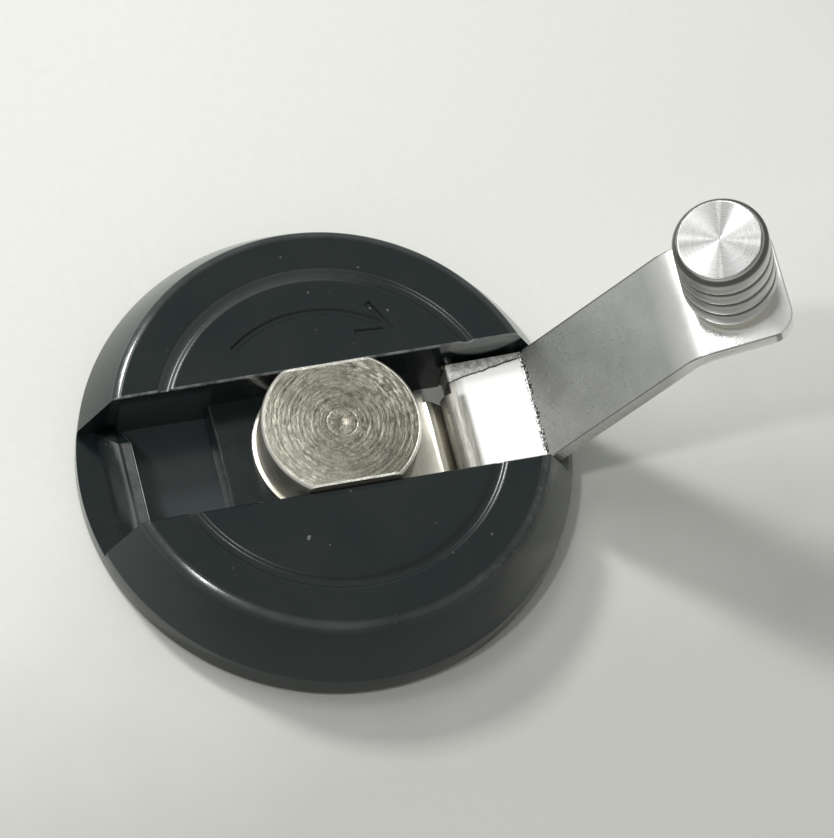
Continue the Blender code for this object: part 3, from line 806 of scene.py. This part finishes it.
def small_steel(name, seed, colour=(0.5, 0.5, 0.49)):
    """Plain plated steel for washers, rings, screws and the pin."""
    material, shader = new_material(name, colour, metallic=1.0, roughness=0.35)
    here = place(shader)
    stains = noise(here, 0.9, seed, detail=4.0)
    fine = noise(here, 0.08, seed=seed + 2.0, roughness=0.7)
    darker = tuple(part * 0.7 for part in colour)
    lighter = tuple(min(1.0, part * 1.2) for part in colour)
    tone = blend(spread(stains, 0.35, 0.7), darker, lighter)
    coat(shader, tone, spread(fine, 0.3, 0.7, 0.26, 0.44), fine, strength=0.25, depth=0.01)
    return material


def sheet_brass():
    """Rolled brass with its grain along X and a little tarnish."""
    material, shader = new_material("sheet_brass", (0.6, 0.45, 0.2), metallic=1.0, roughness=0.35)
    rolled = noise(place(shader, scale=(0.05, 1.0, 1.0)), 0.06, seed=1.0, roughness=0.7)
    tarnish = noise(place(shader), 1.4, seed=6.0, detail=4.0, roughness=0.65)
    tone = blend(spread(tarnish, 0.4, 0.7), (0.66, 0.5, 0.23), (0.4, 0.28, 0.12))
    coat(shader, tone, spread(rolled, 0.3, 0.7, 0.26, 0.46), rolled, strength=0.3, depth=0.01)
    return material


def pale_paper():
    """Pale matt paper with painted shade: a painted shadow on the near side, painted shade to the
    far right and a painted falloff of the light well away from the cap.
    """
    material, shader = new_material("pale_paper", (0.82, 0.82, 0.78), metallic=0.0, roughness=0.8)
    shader.inputs["Specular IOR Level"].default_value = 0.2
    here = place(shader)
    x, y = split(here)[:2]
    # painted shadow over the near side, with a wandering edge
    drift = times(minus(noise(here, 9.0, seed=2.0, detail=4.0), 0.5), 8 * MM)
    ahead = minus(plus(y, drift), times(x, 0.25))
    colour = blend(between(ahead, -17.0, 3.0), (0.56, 0.56, 0.53), (0.85, 0.86, 0.81))
    fibre = spread(noise(here, 0.5, seed=4.0), 0.3, 0.7, 0.0, 0.12)
    colour = blend(fibre, colour, (0.62, 0.62, 0.58))
    # painted shade towards the far right
    shaded_far_right = times(between(x, -5.0, 28.0), between(y, 2.0, 14.0, 0.05, 0.4))
    colour = blend(shaded_far_right, colour, (0.66, 0.66, 0.63))
    # painted falloff of the light well away from the cap
    colour = blend(between(from_axis(here), 36.0, 95.0), colour, (0.36, 0.36, 0.35))
    join(colour, shader.inputs["Base Color"])
    return material


# ---------------------------------------- cap
def cap_blank():
    """The turned cap with its skirt, cone, rounded shoulder and engraved ring."""
    floor_z = TOP_Z - GROOVE_DEPTH
    outline = [
        (0.0, 0.0), (CAP_R - 0.2, 0.0), (CAP_R, 0.2), (CAP_R, SKIRT_Z),
        (SHOULDER_R, SHOULDER_Z), (TOP_R, TOP_Z), (TOP_R - 0.25, TOP_Z),
        (GROOVE_R + 0.53, TOP_Z), (GROOVE_R + 0.33, TOP_Z), (GROOVE_R + 0.16, floor_z),
        (GROOVE_R - 0.15, floor_z), (GROOVE_R - 0.32, TOP_Z), (GROOVE_R - 0.52, TOP_Z),
        (0.0, TOP_Z),
    ]
    cuts = [0.0, 0.08, 0.08, 0.08, 0.1, 0.1, 0.0, 0.0, 0.1, 0.08, 0.08, 0.1, 0.0, 0.0]
    return lathe("cap_turned", soften(outline, cuts), steps=216)


def cut_slot(cap):
    """The slot, with its deep pocket, ridge and notch at the left."""
    outline = [
        (BEYOND, SLOT_Z), (BEYOND, BEYOND), (-BEYOND, BEYOND), (-BEYOND, NOTCH_Z),
        (NOTCH_X, NOTCH_Z), (RIDGE_OUT_X, RIDGE_OUT_Z), (CREST_X, CREST_Z),
        (POCKET_LEFT, POCKET_Z), (POCKET_RIGHT, POCKET_Z), (POCKET_RIGHT + 0.1, SLOT_Z),
    ]
    cuts = [0.0, 0.0, 0.0, 0.0, 0.0, 0.08, 0.1, 0.05, 0.0, 0.06]
    carve(cap, across("slot_tool", soften(outline, cuts), -SLOT_HALF, SLOT_HALF))
    fallen = [(RIDGE_END_Y, CREST_Z + 0.1), (SLOT_HALF, NOTCH_Z), (SLOT_HALF, BEYOND),
              (RIDGE_END_Y, BEYOND)]
    carve(cap, lengthways("ridge_end_tool", fallen, -BEYOND, POCKET_LEFT))


def break_slot_edges(cap):
    """Small flats along the slot's top edges, on the flat top."""
    low = TOP_Z - EDGE_BREAK
    wide = SLOT_HALF + 1.0
    outline = [(-SLOT_HALF, low), (SLOT_HALF, low), (wide, low + 1.0), (-wide, low + 1.0)]
    carve(cap, lengthways("edge_tool", outline, -BEYOND, BEYOND))


def bore(name, radius, low, high, x, y=0.0, steps=64):
    """A round tool that stands along Z at this place."""
    tool = lathe(name, [(0, low), (radius, low), (radius, high), (0, high)], steps)
    move(tool, x, y, 0)
    return tool


def cut_underside(cap):
    """Window below the hinge, pin groove, clip recesses, screw holes, well and bore."""
    low, high = corners("hinge_pin")
    pin_r = (high.z - low.z) / 2 + GAP
    pin_half = high.y + GAP
    window = rectangle(FOLD.x - 2.1, FOLD.x + KNUCKLE_R + 2 * GAP, -BEYOND, TOP_Z)
    carve(cap, across("window_tool", window, -SLOT_HALF, SLOT_HALF))
    groove = rectangle(FOLD.x - pin_r, FOLD.x + pin_r, -BEYOND, FOLD.z + pin_r)
    carve(cap, across("pin_groove_tool", groove, -pin_half, pin_half))
    carve(cap, bore("well_tool", WELL_R, -BEYOND, WELL_Z, STUD_X, steps=96))
    carve(cap, bore("bore_tool", SHANK_R + GAP, -BEYOND, BEYOND, STUD_X))
    for index in (1, 2):
        low, high = corners("pin_clip_%d" % index)
        recess = rectangle(low.x - GAP, high.x + GAP, -BEYOND, high.z + GAP)
        carve(cap, across("recess_tool", recess, low.y - GAP, high.y + GAP))
        spot = middle("clip_screw_%d" % index)
        top = corners("clip_screw_%d" % index)[1].z + 2 * GAP
        carve(cap, bore("screw_hole_tool", SCREW_R + GAP, -BEYOND, top, spot.x, spot.y, steps=32))


def engrave_arrow(cap):
    """A curved arrow on the far half of the top: an arc, and two strokes back from its tip."""
    centre_y = 0.22
    radius = 6.2
    start = math.radians(130.0)
    end = math.radians(47.5)
    barb_angle = math.radians(29.0)
    barb_length = 1.95
    depth = 0.11
    lip = 0.03
    section = [(-0.22, lip), (-0.1, -depth), (0.1, -depth), (0.22, lip)]
    points = []
    for out, up in section:
        reach = radius + out
        points.append((reach * math.cos(start), centre_y + reach * math.sin(start), TOP_Z + up))
    tool = draw("arrow_arc_tool", points)
    bpy.ops.mesh.edge_face_add()
    bpy.ops.mesh.spin(steps=60, angle=start - end, center=(0, centre_y * MM, 0), axis=(0, 0, 1))
    tidy_mesh()
    carve(cap, tool)
    tip = Vector((radius * math.cos(end), centre_y + radius * math.sin(end), 0))
    back = end + math.radians(100.0)
    for turn, sink in ((back + barb_angle, 0.004), (back - barb_angle, 0.008)):
        run = Vector((math.cos(turn), math.sin(turn), 0))
        side = Vector((-run.y, run.x, 0))
        begin = tip - run * 0.05
        outline = []
        for out, up in section:
            spot = begin + side * out * 0.9
            outline.append((spot.x, spot.y, TOP_Z + up - sink))
        carve(cap, block("arrow_barb_tool", outline, run * barb_length))


def make_cap():
    cap = cap_blank()
    cut_slot(cap)
    cut_underside(cap)
    break_slot_edges(cap)
    engrave_arrow(cap)
    finish(cap, black_gloss(), "cap", ["cap_body"], smooth=28.0)


# ---------------------------------------- stud and its fastening
def turned_ripple(top):
    """The head's top from the rim inwards: shallow ruts, one groove and a dimple."""
    profile = []
    reach = 3.8
    while reach > 0.55:
        rut = 0.0022 * math.sin(reach * 27.0) + 0.002 * math.sin(reach * 17.3 + 1.0)
        if 0.72 < reach < 0.82:
            rut -= 0.02
        profile.append((reach, top - 0.012 + rut))
        reach -= 0.045
    dimple = [(0.35, top - 0.015), (0.2, top - 0.03), (0.1, top - 0.075), (0.0, top - 0.09)]
    return profile + dimple


def make_stud():
    low, high = corners("drive_stud")
    ring_low, ring_high = (corner.z for corner in corners("stud_snap_ring"))
    ring_low -= GAP
    ring_high += GAP
    groove_r = SHANK_R - 0.3
    head_low = SLOT_Z + HEAD_LIFT
    outline = [
        (0.0, low.z), (SHANK_R - 0.1, low.z), (SHANK_R, low.z + 0.1), (SHANK_R, ring_low),
        (groove_r, ring_low), (groove_r, ring_high), (SHANK_R, ring_high), (SHANK_R, head_low),
        (HEAD_R - 0.08, head_low), (HEAD_R, head_low + 0.08), (HEAD_R, high.z - 0.16),
        (HEAD_R - 0.16, high.z - 0.01),
    ]
    cuts = [0.0] * 10 + [0.07, 0.05]
    stud = lathe("stud_turned", soften(outline, cuts) + turned_ripple(high.z), steps=144)
    slab = rectangle(-BEYOND, BEYOND, SLOT_Z, BEYOND)
    carve(stud, across("near_flat_tool", slab, -BEYOND, -high.y))
    carve(stud, across("far_flat_tool", slab, high.y, BEYOND))
    move(stud, STUD_X, 0, 0)
    finish(stud, stud_steel(), "cap", ["drive_stud"], smooth=30.0)


def open_ring(name, inner, outer, gap_degrees, low, high, steps):
    """A flat snap ring round Z, open towards +X."""
    start = math.radians(gap_degrees / 2)
    end = 2 * math.pi - start
    outline = arc(0, 0, outer, start, end, steps) + arc(0, 0, inner, end, start, steps)
    return upright(name, outline, low, high)


def washer(name, inner, outer, low, high):
    outline = [(inner, low), (outer, low), (outer, high), (inner, high)]
    profile = soften(outline, [0.04] * 4, segments=2)
    return lathe(name, profile + profile[:1], steps=96)


def make_stud_fastening():
    steel = small_steel("plated_washer", seed=3.0)
    low, high = corners("stud_washer")
    disc = washer("stud_washer_turned", inner=SHANK_R + GAP, outer=3.0, low=low.z, high=high.z)
    move(disc, STUD_X, 0, 0)
    finish(disc, steel, "cap", ["stud_washer"])
    low, high = corners("stud_snap_ring")
    ring = open_ring("stud_snap_ring_cut", inner=1.35, outer=2.35, gap_degrees=50.0, low=0.0,
                     high=high.z - low.z, steps=64)
    ease_edges(ring, 0.04, segments=1, sharper_than=50.0)
    move(ring, STUD_X, 0, low.z)
    finish(ring, steel, "cap", ["stud_snap_ring"])


# ---------------------------------------- leaf spring
def leaf_plate(bend_x, half):
    """The flat part: round under the stud's head, then a narrower tongue to the bend."""
    radius = STUD_X - corners("leaf_spring")[0].x
    far = 2.05
    turn = math.asin(half / radius)
    shoulder_x = STUD_X + radius * math.cos(turn)
    outline = arc(STUD_X, 0, radius, math.pi - turn, math.pi + turn, 40)
    outline += [(bend_x - 0.3, -half), (bend_x - 0.3, far), (shoulder_x + 0.6, far),
                (shoulder_x, half)]
    plate = upright("leaf_bent", outline, LEAF_UNDER, LEAF_UNDER + LEAF_T)
    ease_edges(plate, 0.05, segments=2, sharper_than=40.0)
    return plate


def leaf_lip(bend_x, half):
    """The lip that falls at the lever's root, with a raised bead along its bend."""
    over = LEAF_UNDER + LEAF_T
    fall = math.radians(48.0)
    inner_r = 0.12
    outer_r = inner_r + LEAF_T
    lap = 0.9
    back = outer_r * math.tan(fall / 2)
    start_x = bend_x - back
    top = arc(start_x, over - outer_r, outer_r, math.pi / 2, math.pi / 2 - fall, 6)
    bottom = arc(start_x, over - outer_r, inner_r, math.pi / 2 - fall, math.pi / 2, 6)
    run = Vector((math.cos(fall), -math.sin(fall))) * (1.1 - back)
    end_top = (top[-1][0] + run.x, top[-1][1] + run.y)
    end_bottom = (bottom[0][0] + run.x, bottom[0][1] + run.y)
    section = [(bend_x - lap, over), (start_x - 0.24, over), (start_x - 0.04, over + 0.06)]
    section += top[1:] + [end_top, end_bottom] + bottom + [(bend_x - lap, LEAF_UNDER)]
    lip = across("leaf_lip", section, 0.1 - half, 1.5)
    ease_edges(lip, 0.04, segments=2, sharper_than=50.0)
    return lip


def make_leaf():
    bend_x = FOLD.x - 1.45
    half = SLOT_HALF - 4 * GAP
    leaf = leaf_plate(bend_x, half)
    carve(leaf, leaf_lip(bend_x, half), "UNION")
    carve(leaf, bore("leaf_hole_tool", SHANK_R + GAP, 0.0, BEYOND, STUD_X))
    finish(leaf, leaf_steel(), "cap", ["leaf_spring"], smooth=35.0)


# ---------------------------------------- lever
def off(point, turn, distance):
    """Move a point squarely off a run at this angle."""
    return (point[0] - distance * math.sin(turn), point[1] + distance * math.cos(turn))


def along(point, turn, distance):
    """Move a point along a run at this angle."""
    return (point[0] + distance * math.cos(turn), point[1] + distance * math.sin(turn))


def bend(corner, before, after, radius, steps):
    """Points round a bend in the sheet's upper face, each with the sheet's angle there.

    The radius is positive where the upper face is hollow and negative where it is round.
    """
    back = radius * math.tan((after - before) / 2)
    centre = off(along(corner, before, -back), before, radius)
    turns = [before + (after - before) * i / steps for i in range(steps + 1)]
    return [(off(centre, turn, -radius), turn) for turn in turns]


def lever_outline():
    """The bent sheet from the side, about the hinge axis: knuckle, flat run, rise and pad."""
    root = off((0.0, 0.0), FLAT_ANGLE, KNUCKLE_R)
    crease = along(root, FLAT_ANGLE, (FLAT_REACH - root[0]) / math.cos(FLAT_ANGLE))
    knee = along(crease, RISE_ANGLE, RISE_LENGTH)
    tip = along(knee, PAD_ANGLE, PAD_LENGTH)
    upper = bend(crease, FLAT_ANGLE, RISE_ANGLE, CREASE_R, 4)
    upper += bend(knee, RISE_ANGLE, PAD_ANGLE, -KNEE_R, 16)
    upper.append((tip, PAD_ANGLE))
    outline = [root] + [point for point, turn in upper]
    outline += [off(point, turn, -SHEET_T) for point, turn in reversed(upper)]
    outline += arc(0, 0, KNUCKLE_R, FLAT_ANGLE, FLAT_ANGLE - 1.5 * math.pi, 28)[:-1]
    return outline, tip


def round_pad_corners(lever, tip):
    """Bevel the two upright edges at the pad's end round."""
    pad_run = Vector((math.cos(PAD_ANGLE), 0, math.sin(PAD_ANGLE)))
    limit = Vector((tip[0], 0, tip[1])).dot(pad_run) - 0.01
    chosen = set()
    for edge in lever.data.edges:
        ends = [lever.data.vertices[i].co / MM for i in edge.vertices]
        upright_edge = abs(ends[0].y - ends[1].y) < 0.01
        if upright_edge and all(end.dot(pad_run) > limit for end in ends):
            chosen.add(edge.index)
    select_edges(lever, chosen)
    round_selected(PAD_CORNER_R, segments=12, clamp=False)


def make_lever():
    outline, tip = lever_outline()
    lever = across("lever_bent", outline, -LEVER_HALF, LEVER_HALF)
    round_pad_corners(lever, tip)
    cut_back = rectangle(-2.0, -0.42, -2.0, 2.0)
    knuckle_far = 1.55
    carve(lever, across("knuckle_end_tool", cut_back, knuckle_far, BEYOND))
    ease_outline(lever, 0.08, segments=3)
    move(lever, FOLD.x, 0, FOLD.z)
    hole_r = 0.32
    sides = 32
    pin_hole = arc(FOLD.x, FOLD.z, hole_r, 0.0, 2 * math.pi * (sides - 1) / sides, sides - 1)
    carve(lever, across("hinge_hole_tool", pin_hole, -BEYOND, BEYOND))
    stem = bore("stem_hole_tool", STEM_R + GAP, low=-2.0, high=2.0, x=0.0)
    stand_on_pad(stem)
    carve(lever, stem)
    finish(lever, lever_steel(), "lever", ["crank_lever"], smooth=32.0)


# ---------------------------------------- finger knob
def unroll(piece):
    """A UV map that runs round the turning axis one way and out along the outline the other."""
    layer = piece.data.uv_layers.new(name="turned")
    for face in piece.data.polygons:
        middle_turn = math.atan2(face.center.y, face.center.x)
        for loop in face.loop_indices:
            point = piece.data.vertices[piece.data.loops[loop].vertex_index].co
            reach = math.hypot(point.x, point.y)
            turn = middle_turn
            if reach > 0.01 * MM:
                step = math.atan2(point.y, point.x) - middle_turn
                turn += math.atan2(math.sin(step), math.cos(step))
            out = (reach - point.z) / MM / 20
            layer.data[loop].uv = (turn / (2 * math.pi) + 0.5, 0.5 + out)


def knob_outline(ring_low, ring_high):
    """The knob and its stem in section: a groove for the snap ring, a base, ribs and a face."""
    tail = -SHEET_T - 1.15
    groove_r = STEM_R - 0.22
    pitch = (RIB_HIGH - RIB_LOW) / RIB_COUNT
    outline = [
        (0.0, tail), (STEM_R - 0.1, tail), (STEM_R, tail + 0.1), (STEM_R, ring_low - GAP),
        (groove_r, ring_low - GAP), (groove_r, ring_high + GAP), (STEM_R, ring_high + GAP),
        (STEM_R, GAP), (KNOB_BASE_R, GAP), (KNOB_BASE_R, KNOB_BASE_TOP), (RIB_FLOOR_R, RIB_LOW),
    ]
    cuts = [0.0] * 8 + [0.06, 0.08, 0.05]
    for rib in range(RIB_COUNT):
        base = RIB_LOW + rib * pitch
        outline += [(KNOB_R - 0.01, base + 0.15), (KNOB_R, base + 0.5 * pitch),
                    (KNOB_R - 0.01, base + pitch - 0.15)]
        cuts += [0.07, 0.0, 0.07]
        if rib < RIB_COUNT - 1:
            outline.append((RIB_FLOOR_R, base + pitch))
            cuts.append(0.05)
    outline += [(KNOB_R - 0.2, RIB_HIGH), (2.1, KNOB_H), (1.98, KNOB_H), (0.0, KNOB_H)]
    cuts += [0.04, 0.06, 0.0, 0.0]
    return soften(outline, cuts)


def make_knob():
    ring_high = -SHEET_T - 0.4
    ring_low = ring_high - 0.2
    knob = lathe("knob_turned", knob_outline(ring_low, ring_high), steps=160)
    unroll(knob)
    stand_on_pad(knob)
    finish(knob, knob_steel(), "grip", ["finger_knob"], smooth=28.0)

    steel = small_steel("plated_ring", seed=8.0)
    disc = washer("knob_washer_turned", inner=STEM_R + GAP, outer=1.55, low=-SHEET_T - 0.3,
                  high=-SHEET_T - GAP)
    stand_on_pad(disc)
    finish(disc, steel, "grip", ["knob_washer"])
    ring = open_ring("knob_snap_ring_cut", inner=0.63, outer=1.3, gap_degrees=55.0, low=ring_low,
                     high=ring_high, steps=48)
    ease_edges(ring, 0.03, segments=1, sharper_than=50.0)
    stand_on_pad(ring)
    finish(ring, steel, "grip", ["knob_snap_ring"])


# ---------------------------------------- pin, clips and screws
def turn_piece(piece, x, y, z):
    """Turn a piece about the world's origin and keep its own axes square."""
    pick(piece)
    piece.rotation_euler = (x, y, z)
    bpy.ops.object.transform_apply(location=False, rotation=True, scale=False)


def make_pin():
    low, high = corners("hinge_pin")
    radius = (high.z - low.z) / 2
    outline = [(0.0, -high.y), (radius, -high.y), (radius, high.y), (0.0, high.y)]
    pin = lathe("pin_turned", soften(outline, [0.0, 0.07, 0.07, 0.0]), steps=48)
    turn_piece(pin, math.pi / 2, 0, 0)
    move(pin, FOLD.x, 0, FOLD.z)
    steel = small_steel("pin_wire", seed=5.0, colour=(0.55, 0.55, 0.54))
    finish(pin, steel, "cap", ["hinge_pin"])


def make_clip(index, material):
    low, high = corners("pin_clip_%d" % index)
    spot = middle("clip_screw_%d" % index)
    plan = rectangle(low.x, high.x, low.y, high.y)
    clip = upright("clip_cut_%d" % index, plan, low.z, high.z)
    ease_edges(clip, 0.08, segments=2, sharper_than=50.0)
    carve(clip, bore("clip_hole_tool", SCREW_R + GAP, -BEYOND, BEYOND, spot.x, spot.y, steps=48))
    finish(clip, material, "cap", ["pin_clip_%d" % index])


def make_screw(index, slit_turn, material):
    """A cheese-head screw put in from below, with its slit turned."""
    low, high = corners("clip_screw_%d" % index)
    spot = middle("clip_screw_%d" % index)
    head_r = 0.95
    head_top = low.z + 0.6
    outline = [(0.0, low.z), (head_r, low.z), (head_r, head_top), (SCREW_R, head_top),
               (SCREW_R, high.z), (0.0, high.z)]
    profile = soften(outline, [0.0, 0.2, 0.04, 0.0, 0.1, 0.0])
    screw = lathe("screw_turned_%d" % index, profile, steps=64)
    slit = across("slit_tool", rectangle(-0.125, 0.125, low.z - 0.5, low.z + 0.25), -2, 2)
    turn_piece(slit, 0, 0, slit_turn)
    carve(screw, slit)
    move(screw, spot.x, spot.y, 0)
    finish(screw, material, "cap", ["clip_screw_%d" % index])


def make_clips():
    brass = sheet_brass()
    steel = small_steel("plated_screw", seed=11.0)
    for index, side in ((1, 1), (2, -1)):
        make_clip(index, brass)
        make_screw(index, math.radians(35.0) * side, steel)


# ---------------------------------------- floor, light and camera
def make_floor():
    deselect()
    just_below = -0.03 * MM
    bpy.ops.mesh.primitive_plane_add(size=3.0, location=(0, 0, just_below))
    floor = bpy.context.active_object
    floor.name = "floor"
    floor.data.materials.append(pale_paper())


def lamp(name, direction, width, depth, watts, turned=0.0):
    """A soft lamp, aimed at the cap. Its width lies along X, then it is turned."""
    away = 0.5
    deselect()
    bpy.ops.object.light_add(type="AREA")
    made = bpy.context.active_object
    made.name = name
    made.data.shape = "RECTANGLE"
    made.data.size = width
    made.data.size_y = depth
    made.data.energy = watts
    back = Vector(direction).normalized()
    up = back.cross(Vector((1, 0, 0))).normalized()
    side = up.cross(back)
    turn = Matrix((side, up, back)).transposed().to_4x4()
    turn = turn @ Matrix.Rotation(math.radians(turned), 4, "Z")
    made.matrix_world = Matrix.Translation(back * away) @ turn


def make_lights():
    lamp("main_lamp", (-0.33, 0.68, 0.66), width=0.07, depth=0.07, watts=1.25)
    lamp("panel_lamp", (-0.28, 0.42, 0.86), width=0.31, depth=0.075, watts=0.48, turned=33.0)
    lamp("spot_lamp", (-0.4, -0.1, 0.91), width=0.035, depth=0.035, watts=0.42)
    world = bpy.data.worlds.new("room")
    bpy.context.scene.world = world
    world.use_nodes = True
    room = world.node_tree.nodes["Background"]
    feed(room, {"Color": (0.98, 1.0, 0.97), "Strength": 0.36})


def make_camera():
    """A long lens, turned until the slot rises to the right as it does from this side."""
    distance = 0.3
    azimuth = math.radians(-27.5046)
    elevation = math.radians(62.6293)
    roll = math.radians(15.4629)
    aim = Vector((5.376, 1.8, 0.0)) * MM
    back = Vector((math.sin(azimuth) * math.cos(elevation),
                   -math.cos(azimuth) * math.cos(elevation), math.sin(elevation)))
    side = Vector((0, 0, 1)).cross(back).normalized()
    up = back.cross(side)
    right = side * math.cos(roll) + up * math.sin(roll)
    head = up * math.cos(roll) - side * math.sin(roll)
    data = bpy.data.cameras.new("camera")
    data.sensor_fit = "HORIZONTAL"
    data.sensor_width = 36.0
    data.lens = 255.69
    data.clip_start = 0.01
    camera = bpy.data.objects.new("camera", data)
    bpy.context.scene.collection.objects.link(camera)
    turn = Matrix((right, head, back)).transposed().to_4x4()
    camera.matrix_world = Matrix.Translation(aim + back * distance) @ turn
    bpy.context.scene.camera = camera


make_camera()
make_lights()
make_floor()
make_cap()
make_stud()
make_stud_fastening()
make_leaf()
make_lever()
make_knob()
make_pin()
make_clips()

bpy.context.scene.view_settings.view_transform = "Standard"
